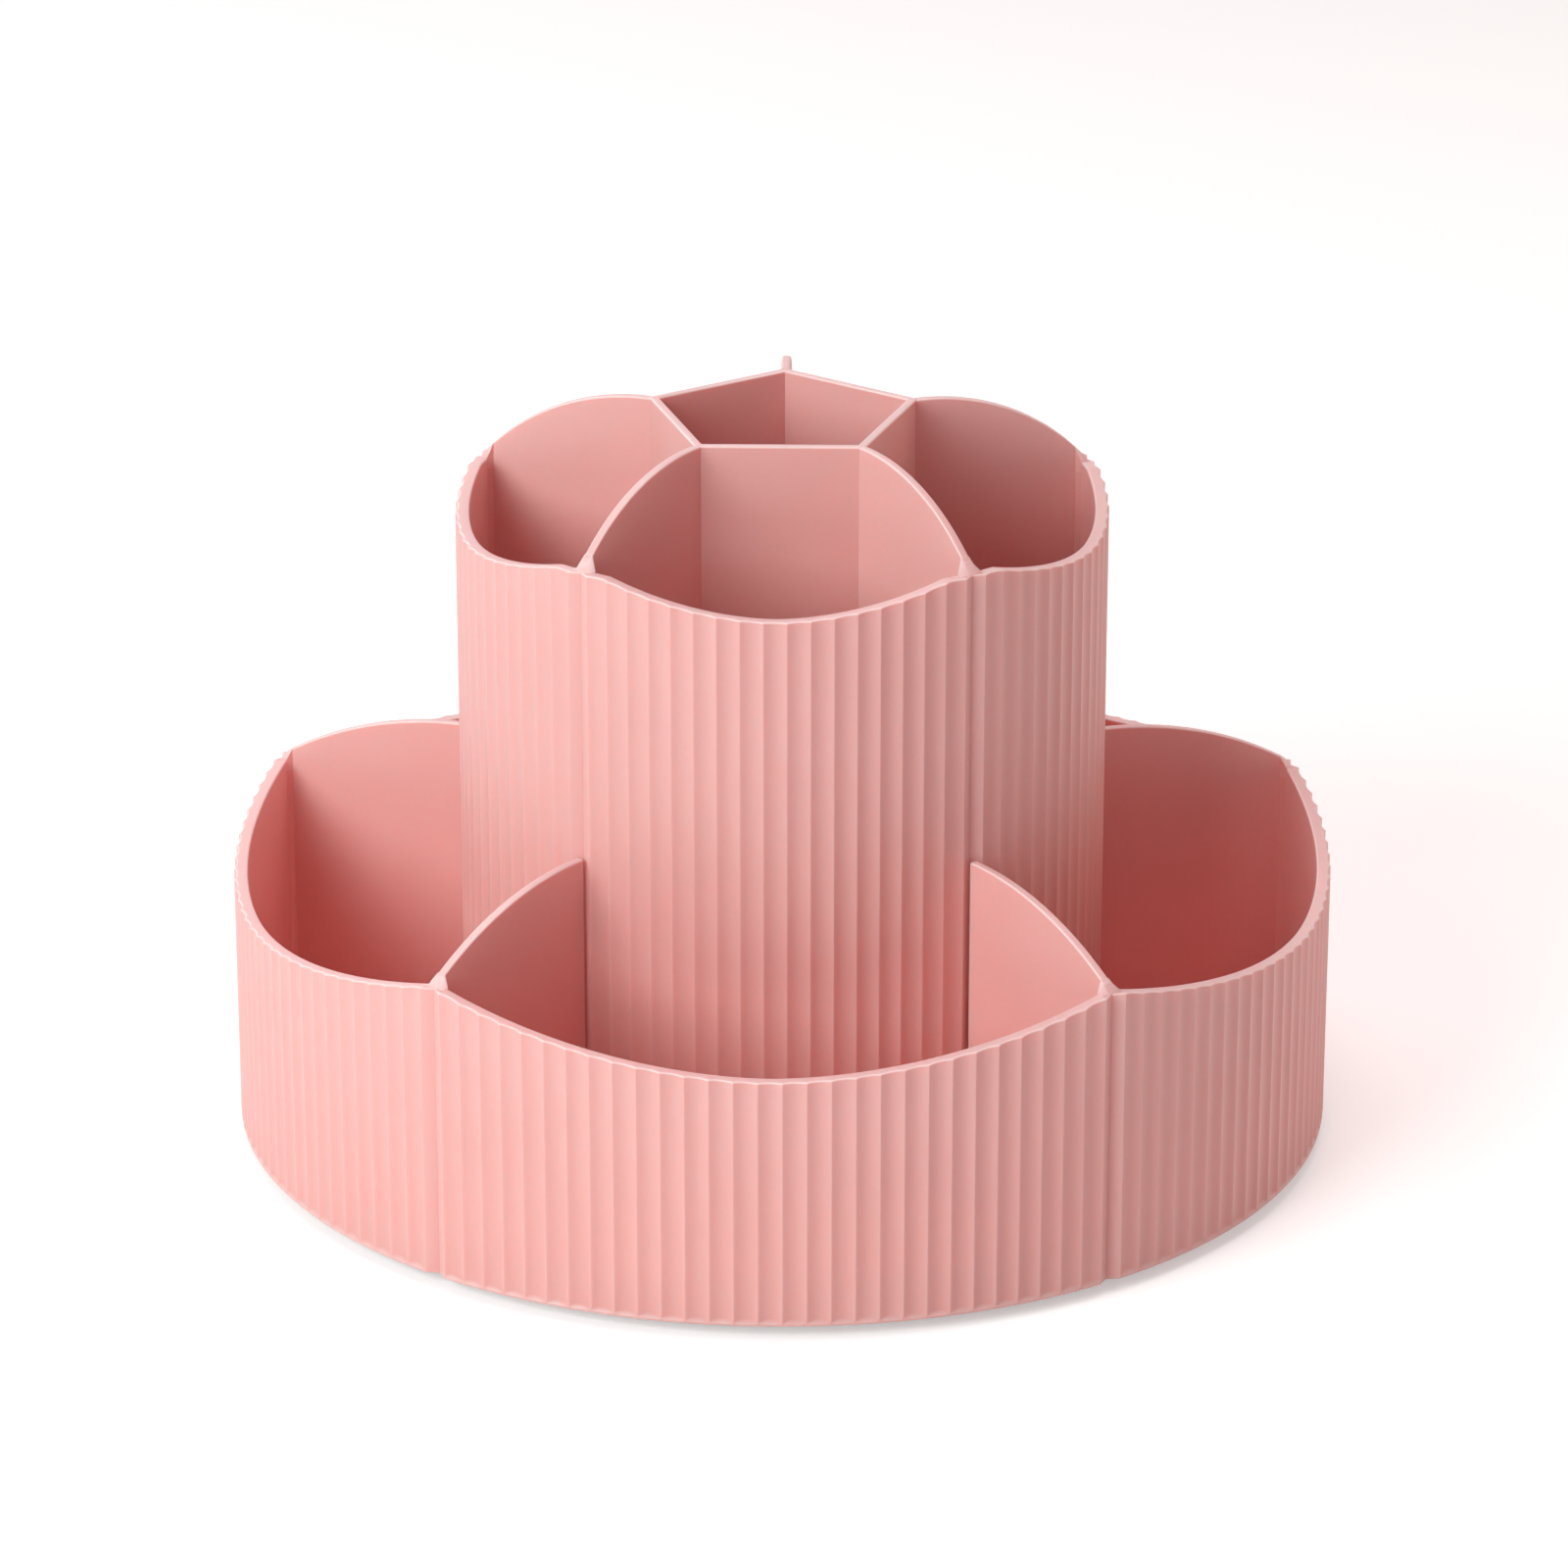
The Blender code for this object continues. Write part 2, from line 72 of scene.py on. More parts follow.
camera_data = bpy.data.cameras.new("camera")
camera_data.sensor_width = sensor_width
camera_data.lens = focal_length_pixels / image_width * sensor_width
camera_data.shift_x = (image_width / 2 - axis_column) / image_width
camera = bpy.data.objects.new("camera", camera_data)
scene.collection.objects.link(camera)
level_reach = camera_distance * math.cos(camera_elevation)
camera.location = (
    level_reach * math.sin(camera_turn),
    -level_reach * math.cos(camera_turn),
    look_height + camera_distance * math.sin(camera_elevation),
)
look_point = Vector((0.0, 0.0, look_height))
camera.rotation_euler = (look_point - camera.location).to_track_quat('-Z', 'Y').to_euler()
scene.camera = camera
print("lens", round(camera_data.lens, 1), "mm, camera at", [round(v, 3) for v in camera.location])

# %% [markdown]
# The floor and the air around.
# The photo stands on pure white. More light on the object would bleach its pink, so the white comes
# from the floor itself: what the camera sees of it is lifted by a little glow, and the soft shadow
# stays. The world is plain white for the camera and for reflections, and a calm, slightly rosy
# light for everything else.

# %% Floor and world
floor_half_width = 6.0
floor_color = (0.86, 0.86, 0.86, 1.0)
floor_glow = 0.42
floor_roughness = 0.9
floor_shine = 0.1
world_level = 0.24
world_color = (1.0, 0.86, 0.84, 1.0)

scene.view_settings.view_transform = 'Standard'


def seen_by_eye(tree):
    """A value that is 1 for camera, mirror and glass rays and 0 for the rest."""
    path = tree.nodes.new('ShaderNodeLightPath')
    mirror = tree.nodes.new('ShaderNodeMath')
    mirror.operation = 'MAXIMUM'
    tree.links.new(path.outputs["Is Camera Ray"], mirror.inputs[0])
    tree.links.new(path.outputs["Is Glossy Ray"], mirror.inputs[1])
    glass = tree.nodes.new('ShaderNodeMath')
    glass.operation = 'MAXIMUM'
    tree.links.new(mirror.outputs[0], glass.inputs[0])
    tree.links.new(path.outputs["Is Transmission Ray"], glass.inputs[1])
    return glass.outputs[0]


def make_floor():
    """A pale floor that looks white to the camera and keeps the shadow."""
    form = bmesh.new()
    bmesh.ops.create_grid(form, x_segments=1, y_segments=1, size=floor_half_width)
    mesh = bpy.data.meshes.new("floor")
    form.to_mesh(mesh)
    form.free()
    floor = bpy.data.objects.new("floor", mesh)
    scene.collection.objects.link(floor)
    material = bpy.data.materials.new("floor_paper")
    material.use_nodes = True
    tree = material.node_tree
    shader = tree.nodes["Principled BSDF"]
    shader.inputs["Base Color"].default_value = floor_color
    shader.inputs["Roughness"].default_value = floor_roughness
    shader.inputs["Specular IOR Level"].default_value = floor_shine
    glow = tree.nodes.new('ShaderNodeEmission')
    strength = tree.nodes.new('ShaderNodeMath')
    strength.operation = 'MULTIPLY'
    strength.inputs[1].default_value = floor_glow
    tree.links.new(seen_by_eye(tree), strength.inputs[0])
    tree.links.new(strength.outputs[0], glow.inputs["Strength"])
    both = tree.nodes.new('ShaderNodeAddShader')
    tree.links.new(shader.outputs[0], both.inputs[0])
    tree.links.new(glow.outputs[0], both.inputs[1])
    tree.links.new(both.outputs[0], tree.nodes["Material Output"].inputs["Surface"])
    mesh.materials.append(material)


def make_world():
    """White for the camera, a calm, slightly rosy light for the object."""
    world = bpy.data.worlds.new("studio")
    world.use_nodes = True
    tree = world.node_tree
    light = tree.nodes["Background"]
    light.inputs["Color"].default_value = world_color
    light.inputs["Strength"].default_value = world_level
    paper = tree.nodes.new('ShaderNodeBackground')
    paper.inputs["Color"].default_value = (1.0, 1.0, 1.0, 1.0)
    paper.inputs["Strength"].default_value = 1.0
    choice = tree.nodes.new('ShaderNodeMixShader')
    tree.links.new(seen_by_eye(tree), choice.inputs[0])
    tree.links.new(light.outputs[0], choice.inputs[1])
    tree.links.new(paper.outputs[0], choice.inputs[2])
    tree.links.new(choice.outputs[0], tree.nodes["World Output"].inputs["Surface"])
    scene.world = world


make_floor()
make_world()
print("floor", 2 * floor_half_width, "m wide, world level", world_level)

# %% [markdown]
# The light.
# In the photo a wide window stands at the left and a little in front. The left of each wall is
# pale, the right one falls into a deeper rose, and every flute has a light and a dark side. Point
# lamps would give hard edges, so the lamps are large area lights: a cool window, a weaker one
# behind it for the inner walls, a soft light above that brings out the rims, and a faint warm
# card low on the right.

# %% Lamps
lamps = {
    "window": {"place": (-0.92, -1.00, 0.71), "size": 0.90, "power": 19.0, "color": (0.84, 1.0, 0.99)},
    "back_window": {"place": (-0.80, 1.05, 0.95), "size": 0.90, "power": 4.0, "color": (0.95, 0.97, 1.0)},
    "overhead": {"place": (0.10, 0.10, 1.55), "size": 1.00, "power": 8.0, "color": (1.0, 0.84, 0.84)},
    "warm_card": {"place": (1.25, 0.55, 0.25), "size": 0.60, "power": 3.0, "color": (1.0, 0.66, 0.50)},
}


def make_lamp(name, place, size, power, color):
    """A square area light that points at the middle of the object."""
    light = bpy.data.lights.new(name, 'AREA')
    light.shape = 'SQUARE'
    light.size = size
    light.energy = power
    light.color = color
    lamp = bpy.data.objects.new(name, light)
    lamp.location = place
    lamp.rotation_euler = (look_point - Vector(place)).to_track_quat('-Z', 'Y').to_euler()
    scene.collection.objects.link(lamp)


for name, facts in lamps.items():
    make_lamp(name, **facts)
print("lamps:", ", ".join(lamps))

# %% [markdown]
# Shared effects for the finishes.
# A mould leaves the same traces on every plastic piece: a fine spark-eroded grain, a faint cloud
# in the colour where the melt flowed, and edges that hands and boxes have rubbed smooth. The edges
# are also painted lighter, most of all those that face up, which is a painted highlight in place of
# light catching them. Each is a small group of nodes with its own inputs, so one group serves pink
# plastic, nylon and rubber with different values. The groups only give out values and colours that
# change over the surface.

# %% Helper for node groups
def new_group(name, inputs, outputs):
    """A shader node group; inputs are rows of label, kind and value, outputs of label and kind."""
    group = bpy.data.node_groups.new(name, 'ShaderNodeTree')
    for label, kind, value in inputs:
        socket = group.interface.new_socket(label, in_out='INPUT', socket_type=kind)
        socket.default_value = value
    for label, kind in outputs:
        group.interface.new_socket(label, in_out='OUTPUT', socket_type=kind)
    return group, group.nodes.new('NodeGroupInput'), group.nodes.new('NodeGroupOutput')


def maths(tree, operation, first, second):
    """A maths node whose two inputs are sockets or numbers."""
    node = tree.nodes.new('ShaderNodeMath')
    node.operation = operation
    for index, value in enumerate((first, second)):
        if isinstance(value, bpy.types.NodeSocket):
            tree.links.new(value, node.inputs[index])
        else:
            node.inputs[index].default_value = value
    return node.outputs[0]


def blend_colors(tree, share, first, second):
    """Mix two colour sockets by a share."""
    node = tree.nodes.new('ShaderNodeMix')
    node.data_type = 'RGBA'
    tree.links.new(share, node.inputs["Factor"])
    tree.links.new(first, node.inputs["A"])
    tree.links.new(second, node.inputs["B"])
    return node.outputs["Result"]


print("node helpers ready")

# %% Mould grain
grain_detail = 2.0
cloud_detail = 3.0
pit_stretch = 0.6


def make_mould_grain():
    """Fine eroded grain as a height, and a slow cloud, from sizes in metres."""
    group, entry, end = new_group(
        "mould_grain",
        [("Grain Size", 'NodeSocketFloat', 0.0004), ("Cloud Size", 'NodeSocketFloat', 0.03)],
        [("Height", 'NodeSocketFloat'), ("Cloud", 'NodeSocketFloat')],
    )
    place = group.nodes.new('ShaderNodeTexCoord').outputs["Object"]
    heights = []
    textures = (('ShaderNodeTexNoise', 1.0, "Fac"), ('ShaderNodeTexVoronoi', pit_stretch, "Distance"))
    for kind, stretch, output in textures:
        texture = group.nodes.new(kind)
        group.links.new(place, texture.inputs["Vector"])
        scale = maths(group, 'DIVIDE', stretch, entry.outputs["Grain Size"])
        group.links.new(scale, texture.inputs["Scale"])
        texture.inputs["Detail"].default_value = grain_detail
        heights.append(texture.outputs[output])
    both = maths(group, 'ADD', heights[0], heights[1])
    group.links.new(maths(group, 'MULTIPLY', both, 1 / len(heights)), end.inputs["Height"])
    cloud = group.nodes.new('ShaderNodeTexNoise')
    cloud.inputs["Detail"].default_value = cloud_detail
    group.links.new(place, cloud.inputs["Vector"])
    group.links.new(maths(group, 'DIVIDE', 1.0, entry.outputs["Cloud Size"]), cloud.inputs["Scale"])
    group.links.new(cloud.outputs["Fac"], end.inputs["Cloud"])
    return group


mould_grain = make_mould_grain()
print("group", mould_grain.name)

# %% Rubbed edges with a painted highlight
def make_worn_and_highlit_edges():
    """Lighter, smoother edges where the stored crest value of the mesh is high; the lighter colour is a
    painted highlight.
    """
    group, entry, end = new_group(
        "worn_and_highlit_edges",
        [
            ("Color", 'NodeSocketColor', (0.5, 0.5, 0.5, 1.0)),
            ("Worn And Highlit Edge Color", 'NodeSocketColor', (0.8, 0.8, 0.8, 1.0)),
            ("Roughness", 'NodeSocketFloat', 0.5),
            ("Polish", 'NodeSocketFloat', 0.1),
        ],
        [("Color", 'NodeSocketColor'), ("Roughness", 'NodeSocketFloat')],
    )
    crest = group.nodes.new('ShaderNodeAttribute')
    crest.attribute_name = "crest"
    share = crest.outputs["Fac"]
    # Mixing towards the edge colour paints a highlight on the edges, on top of their wear.
    color = blend_colors(group, share, entry.outputs["Color"], entry.outputs["Worn And Highlit Edge Color"])
    group.links.new(color, end.inputs["Color"])
    polish = maths(group, 'MULTIPLY', share, entry.outputs["Polish"])
    group.links.new(maths(group, 'SUBTRACT', entry.outputs["Roughness"], polish), end.inputs["Roughness"])
    return group


worn_and_highlit_edges = make_worn_and_highlit_edges()
print("group", worn_and_highlit_edges.name)

# %% Fine scratches
mark_turns = (0.5, 2.1)
mark_squeeze = 12.0
mark_detail = 4.0
mark_scale = 0.2
mask_gain = 2.0


def make_fine_scratches():
    """Fine criss-cross marks on metal, as a height and a mask."""
    group, entry, end = new_group(
        "fine_scratches",
        [("Mark Size", 'NodeSocketFloat', 0.0003)],
        [("Height", 'NodeSocketFloat'), ("Mask", 'NodeSocketFloat')],
    )
    place = group.nodes.new('ShaderNodeTexCoord').outputs["Object"]
    marks = []
    for turn in mark_turns:
        turned_place = group.nodes.new('ShaderNodeMapping')
        turned_place.inputs["Rotation"].default_value = (turn, turn, turn)
        turned_place.inputs["Scale"].default_value = (1.0, mark_squeeze, 1.0)
        group.links.new(place, turned_place.inputs["Vector"])
        mark = group.nodes.new('ShaderNodeTexNoise')
        mark.inputs["Detail"].default_value = mark_detail
        group.links.new(turned_place.outputs[0], mark.inputs["Vector"])
        scale = maths(group, 'DIVIDE', mark_scale, entry.outputs["Mark Size"])
        group.links.new(scale, mark.inputs["Scale"])
        marks.append(mark.outputs["Fac"])
    both = maths(group, 'MULTIPLY', marks[0], marks[1])
    group.links.new(both, end.inputs["Height"])
    group.links.new(maths(group, 'MULTIPLY', both, mask_gain), end.inputs["Mask"])
    return group


fine_scratches = make_fine_scratches()
print("group", fine_scratches.name)

# %% [markdown]
# The finishes.
# The pink is a satin polypropylene: not glossy, not chalky, and slightly lighter on every edge,
# which is a painted highlight as well as wear. Light passes a few millimetres into it, which warms
# its shadows, and a weak coat gives it a broad, dull shine. One recipe makes all moulded materials,
# because they differ mostly in colour, grain and roughness; the pink then gets its depth and its
# coat. Colours are linear values. The metals share a second recipe with scratches in place of grain.

# %% Moulded plastic and rubber
drift_start = 0.35
drift_end = 0.65
cloud_size = 0.028
edge_polish = 0.10
roughness_drift = 0.08
pink_depth_share = 0.6
pink_depth_colors = (1.0, 0.28, 0.22)
pink_depth = 0.004
pink_coat = 0.4
pink_coat_roughness = 0.5


def place_group(tree, group, values):
    """Put a node group into a material with its own values."""
    node = tree.nodes.new('ShaderNodeGroup')
    node.node_tree = group
    for label, value in values.items():
        node.inputs[label].default_value = value
    return node


def two_tone(tree, share, first, second):
    """A colour that drifts between two colours by a share."""
    ramp = tree.nodes.new('ShaderNodeValToRGB')
    ramp.color_ramp.elements[0].position = drift_start
    ramp.color_ramp.elements[0].color = first
    ramp.color_ramp.elements[1].position = drift_end
    ramp.color_ramp.elements[1].color = second
    tree.links.new(share, ramp.inputs["Fac"])
    return ramp.outputs["Color"]


def shape_normal(tree, height, depth):
    """Normals from a height socket, for a depth in metres."""
    bump = tree.nodes.new('ShaderNodeBump')
    bump.inputs["Strength"].default_value = 1.0
    bump.inputs["Distance"].default_value = depth
    tree.links.new(height, bump.inputs["Height"])
    return bump.outputs["Normal"]


def moulded(name, color, deep_color, worn_and_highlit_edge_color, roughness, grain_size, grain_depth, refraction):
    """A moulded surface with grain, a faint cloud in its colour, and edges lighter by wear and a painted
    highlight.
    """
    material = bpy.data.materials.new(name)
    material.use_nodes = True
    tree = material.node_tree
    shader = tree.nodes["Principled BSDF"]
    shader.inputs["IOR"].default_value = refraction
    grain = place_group(tree, mould_grain, {"Grain Size": grain_size, "Cloud Size": cloud_size})
    edges = place_group(tree, worn_and_highlit_edges, {"Worn And Highlit Edge Color": worn_and_highlit_edge_color, "Polish": edge_polish})
    tree.links.new(two_tone(tree, grain.outputs["Cloud"], deep_color, color), edges.inputs["Color"])
    drift = maths(tree, 'MULTIPLY', grain.outputs["Cloud"], roughness_drift)
    tree.links.new(maths(tree, 'ADD', drift, roughness - roughness_drift / 2), edges.inputs["Roughness"])
    tree.links.new(edges.outputs["Color"], shader.inputs["Base Color"])
    tree.links.new(edges.outputs["Roughness"], shader.inputs["Roughness"])
    tree.links.new(shape_normal(tree, grain.outputs["Height"], grain_depth), shader.inputs["Normal"])
    return material


# Each edge colour is a painted highlight on the edges, on top of their wear.
pink = moulded(
    "pink_plastic", color=(0.81, 0.375, 0.350, 1.0), deep_color=(0.795, 0.360, 0.335, 1.0),
    worn_and_highlit_edge_color=(0.90, 0.66, 0.66, 1.0), roughness=0.46,
    grain_size=0.00045, grain_depth=0.000012, refraction=1.46)
pink_shader = pink.node_tree.nodes["Principled BSDF"]
pink_shader.inputs["Subsurface Weight"].default_value = pink_depth_share
pink_shader.inputs["Subsurface Radius"].default_value = pink_depth_colors
pink_shader.inputs["Subsurface Scale"].default_value = pink_depth
pink_shader.inputs["Coat Weight"].default_value = pink_coat
pink_shader.inputs["Coat Roughness"].default_value = pink_coat_roughness
base_pink = moulded(
    "base_plastic", color=(0.74, 0.330, 0.310, 1.0), deep_color=(0.71, 0.305, 0.285, 1.0),
    worn_and_highlit_edge_color=(0.82, 0.45, 0.42, 1.0), roughness=0.56,
    grain_size=0.00060, grain_depth=0.000025, refraction=1.48)
nylon = moulded(
    "cage_nylon", color=(0.80, 0.78, 0.71, 1.0), deep_color=(0.75, 0.72, 0.64, 1.0),
    worn_and_highlit_edge_color=(0.86, 0.84, 0.79, 1.0), roughness=0.42,
    grain_size=0.00050, grain_depth=0.000010, refraction=1.53)
rubber = moulded(
    "foot_rubber", color=(0.045, 0.043, 0.043, 1.0), deep_color=(0.035, 0.034, 0.034, 1.0),
    worn_and_highlit_edge_color=(0.09, 0.088, 0.086, 1.0), roughness=0.82,
    grain_size=0.00035, grain_depth=0.000030, refraction=1.52)
print("plastics:", pink.name, base_pink.name, nylon.name, rubber.name)

# %% Metals
def bare_metal(name, color, dull_color, roughness, mark_size, mark_depth):
    """A metal with fine marks in its shine."""
    material = bpy.data.materials.new(name)
    material.use_nodes = True
    tree = material.node_tree
    shader = tree.nodes["Principled BSDF"]
    shader.inputs["Metallic"].default_value = 1.0
    marks = place_group(tree, fine_scratches, {"Mark Size": mark_size})
    tree.links.new(two_tone(tree, marks.outputs["Mask"], dull_color, color), shader.inputs["Base Color"])
    spread = maths(tree, 'MULTIPLY', marks.outputs["Mask"], roughness)
    tree.links.new(maths(tree, 'ADD', spread, roughness / 2), shader.inputs["Roughness"])
    tree.links.new(shape_normal(tree, marks.outputs["Height"], mark_depth), shader.inputs["Normal"])
    return material


ball_steel = bare_metal(
    "ball_steel", color=(0.72, 0.72, 0.74, 1.0), dull_color=(0.62, 0.62, 0.64, 1.0),
    roughness=0.12, mark_size=0.0004, mark_depth=0.000001)
zinc = bare_metal(
    "zinc_steel", color=(0.62, 0.64, 0.67, 1.0), dull_color=(0.50, 0.52, 0.55, 1.0),
    roughness=0.34, mark_size=0.0003, mark_depth=0.000006)
print("metals:", ball_steel.name, zinc.name)

# %% [markdown]
# Tools for the shapes.
# Both tiers are five-lobed rings with up to a hundred and fifty flutes. They could be cut flute by
# flute from a plain ring, which is slow and leaves rough seams. Skinning is cleaner: one section
# of the wall is worked out for each upright line, and faces are laid between neighbouring lines.
# Floors are turned profiles, dividers are skinned plates, and an exact union makes one moulding.

# %% Skins and turned forms
full_turn = 2 * math.pi
weld_distance = 0.000002


def mesh_piece(name, form):
    """Turn a bmesh into a piece of the model."""
    mesh = bpy.data.meshes.new(name)
    form.to_mesh(mesh)
    form.free()
    piece = bpy.data.objects.new(name, mesh)
    scene.collection.objects.link(piece)
    return piece


def skin(name, loops, ring):
    """Lay faces between loops of as many points each; a ring joins its last loop to its first."""
    form = bmesh.new()
    rows = [[form.verts.new(point) for point in loop] for loop in loops]
    pairs = list(zip(rows, rows[1:]))
    if ring:
        pairs.append((rows[-1], rows[0]))
    for row, following in pairs:
        for index in range(len(row)):
            form.faces.new((row[index - 1], row[index], following[index], following[index - 1]))
    if not ring:
        form.faces.new(rows[0])
        form.faces.new(rows[-1])
    bmesh.ops.remove_doubles(form, verts=form.verts, dist=weld_distance)
    bmesh.ops.recalc_face_normals(form, faces=form.faces)
    return mesh_piece(name, form)


def polar(radius, angle):
    """X and Y of a point at a radius and an angle."""
    return radius * math.cos(angle), radius * math.sin(angle)


def turned(name, profile, steps):
    """Turn a closed profile of radius and height round the Z axis."""
    loops = []
    for step in range(steps):
        angle = full_turn * step / steps
        loops.append([(*polar(radius, angle), height) for radius, height in profile])
    return skin(name, loops, True)


def arc(across, up, radius, start, end, steps):
    """Points of an arc in a section, from one angle in degrees to another."""
    points = []
    for step in range(steps + 1):
        angle = math.radians(start + (end - start) * step / steps)
        points.append((across + radius * math.cos(angle), up + radius * math.sin(angle)))
    return points


print("shape tools ready")

# %% Join, cut and dress
smooth_angle = math.radians(40)
full_crest = math.radians(20)
# Share of the wear and of the painted highlight that edges which don't face up get.
side_wear_and_highlight_share = 0.2


def settle(piece):
    """Replace a piece's mesh by what its modifiers make of it."""
    evaluated = piece.evaluated_get(bpy.context.evaluated_depsgraph_get())
    mesh = bpy.data.meshes.new_from_object(evaluated)
    piece.modifiers.clear()
    piece.data = mesh


def combine(piece, forms, operation):
    """Join forms to a piece or cut them from it, and remove the forms."""
    tools = bpy.data.collections.new("tools")
    for form in forms:
        tools.objects.link(form)
    modifier = piece.modifiers.new("combine", 'BOOLEAN')
    modifier.operation = operation
    modifier.operand_type = 'COLLECTION'
    modifier.collection = tools
    modifier.solver = 'EXACT'
    settle(piece)
    for form in forms:
        bpy.data.objects.remove(form, do_unlink=True)
    bpy.data.collections.remove(tools)


def mark_crests(piece):
    """Store on each point how much it is rubbed and painted lighter: sharp edges, most of all those that
    face up.
    """
    form = bmesh.new()
    form.from_mesh(piece.data)
    crests = []
    for vert in form.verts:
        bends = [edge.calc_face_angle_signed(0.0) for edge in vert.link_edges if edge.is_manifold]
        sharpness = min(1.0, max([0.0, *bends]) / full_crest)
        # Edges that face up get the most, as a painted highlight of light from above.
        upward = max(0.0, vert.normal.z)
        crests.append(sharpness * (side_wear_and_highlight_share + (1 - side_wear_and_highlight_share) * upward))
    form.free()
    layer = piece.data.attributes.new("crest", 'FLOAT', 'POINT')
    layer.data.foreach_set("value", crests)


def dress(piece, material, body, slot, *nodes):
    """Give a piece its finish, its body and the nodes that it stands for."""
    mark_crests(piece)
    piece.data.materials.clear()
    piece.data.materials.append(material)
    piece.data.shade_smooth()
    piece.data.set_sharp_from_angle(angle=smooth_angle)
    even = piece.modifiers.new("even", 'WEIGHTED_NORMAL')
    even.keep_sharp = True
    settle(piece)
    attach(piece, body)
    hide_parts(*nodes)
    print(piece.name, "has", len(piece.data.polygons), "faces")


# %% [markdown]
# The fluted wall.
# Each lobe has hollow flutes that meet in slightly rounded ridges, and between two lobes runs a
# sharp V notch from top to bottom. The rim is a wave: high at the notches, low in the middle of a
# lobe. A sine wave would be too pointed, so the fall is a power curve. The rim's edges are round,
# and at the foot the flutes run out into a plain lip. Inside, the wall is smooth and its corners
# beside each divider are filled a little.

# %% Layout of the lobes
lobe_count = 5
lobe_angle = full_turn / lobe_count
half_lobe = lobe_angle / 2
front_angle = -math.pi / 2
rim_curve_power = 1.7
wall = 0.0032
corner_fill = 0.0016
hollow_steps = 8
ridge_width = 0.00032
ridge_drop = 0.00005
rim_outer_round = 0.0004
rim_inner_round = 0.0005
foot_round = 0.0004
lip_height = 0.0008
lip_inset = 0.00004
round_steps = 4


def from_lobe_middle(angle):
    """Angle to the middle of the nearest lobe."""
    return (angle - front_angle + half_lobe) % lobe_angle - half_lobe


def notch_angles():
    """Angles of the notches between the lobes, where the dividers stand."""
    return [front_angle + half_lobe + lobe * lobe_angle for lobe in range(lobe_count)]


def rim_height(angle, tier):
    """Height of the wavy rim at an angle; it is level for a little way beside each notch."""
    crest = tier["crest"] / (tier["radius"] - wall)
    share = min(1.0, abs(from_lobe_middle(angle)) / (half_lobe - crest))
    return tier["rim"] - tier["dip"] * (1 - share ** rim_curve_power)


def inner_radius(angle, face):
    """Radius of the inner face, with the filled corners beside each divider."""
    to_notch = (half_lobe - abs(from_lobe_middle(angle))) * face
    return face - max(0.0, corner_fill - to_notch)


print(lobe_count, "lobes of", round(math.degrees(lobe_angle)), "degrees")

# %% Upright lines of a wall
def flute_depths(tier, pitch):
    """Shares along one flute and the depth at each, from a ridge up to the next one."""
    edge = ridge_width / 2 / (pitch * tier["radius"])
    rows = [(0.0, 0.0)]
    for step in range(hollow_steps + 1):
        share = edge + (1 - 2 * edge) * step / hollow_steps
        hollow = (tier["flute_depth"] - ridge_drop) * 4 * (step / hollow_steps) * (1 - step / hollow_steps)
        rows.append((share, ridge_drop + hollow))
    return rows


def upright_lines(tier):
    """Angle, outer radius and lip radius of each upright line of a fluted wall."""
    pitch = lobe_angle / (tier["flutes"] + 1)
    radius = tier["radius"]
    lines = []
    for lobe in range(lobe_count):
        start = front_angle - half_lobe + lobe * lobe_angle
        bottom = radius - tier["notch_depth"]
        lip = radius - lip_inset
        lines.append((start, bottom, bottom))
        for flute in range(tier["flutes"]):
            ridge = start + pitch * (flute + 1 / 2)
            for share, depth in flute_depths(tier, pitch):
                lines.append((ridge + pitch * share, radius - depth, lip))
        lines.append((start + pitch * (tier["flutes"] + 1 / 2), radius, lip))
    return lines


def wall_section(outer, lip, inner, bottom, top):
    """Section of the wall at one line: foot, lip, flute, round rim and inner face."""
    return [
        (inner, bottom),
        *arc(lip - foot_round, bottom + foot_round, foot_round, -90, 0, round_steps),
        (lip, bottom + lip_height),
        (outer, bottom + lip_height + foot_round + abs(lip - outer)),
        *arc(outer - rim_outer_round, top - rim_outer_round, rim_outer_round, 0, 90, round_steps),
        *arc(inner + rim_inner_round, top - rim_inner_round, rim_inner_round, 90, 180, round_steps),
    ]


def fluted_wall(name, tier):
    """The whole wall of one tier."""
    loops = []
    for angle, outer, lip in upright_lines(tier):
        inner = inner_radius(angle, tier["radius"] - wall)
        section = wall_section(outer, lip, inner, tier["bottom"], rim_height(angle, tier))
        loops.append([(*polar(radius, angle), height) for radius, height in section])
    return skin(name, loops, True)


print("wall tools ready, ridge", ridge_width * 1000, "mm wide")

# %% [markdown]
# Dividers and floors.
# A divider is a thin upright plate on a radius. Its top edge is one arc: level where it meets the
# middle, then falling faster towards the rim, which is what gives the holder its petal look. The
# edge is flat with small rounds, the foot has a small fillet to the floor, and at the wall a small
# tent leads the edge down to the notch. A flat plate with a bevel would do for the straight parts,
# but a skin of sections follows the arc and the fillet alike.

# %% Plates with a softened edge
divider_half = 0.0010
edge_round = 0.00045
floor_fillet = 0.0012
plate_steps = 40
bite_share = 0.4
tent_half = 0.0026
tent_lift = 0.00006


def plate_section(foot, top):
    """Section across a plate: fillets at the foot, straight sides and a flat top with round corners."""
    side = arc(-divider_half - floor_fillet, foot + floor_fillet, floor_fillet, -90, 0, round_steps)
    crown = arc(-divider_half + edge_round, top - edge_round, edge_round, 180, 90, round_steps)
    left = [(-divider_half - floor_fillet, foot - floor_fillet), *side, *crown]
    right = [(-across, up) for across, up in reversed(left)]
    return left + right


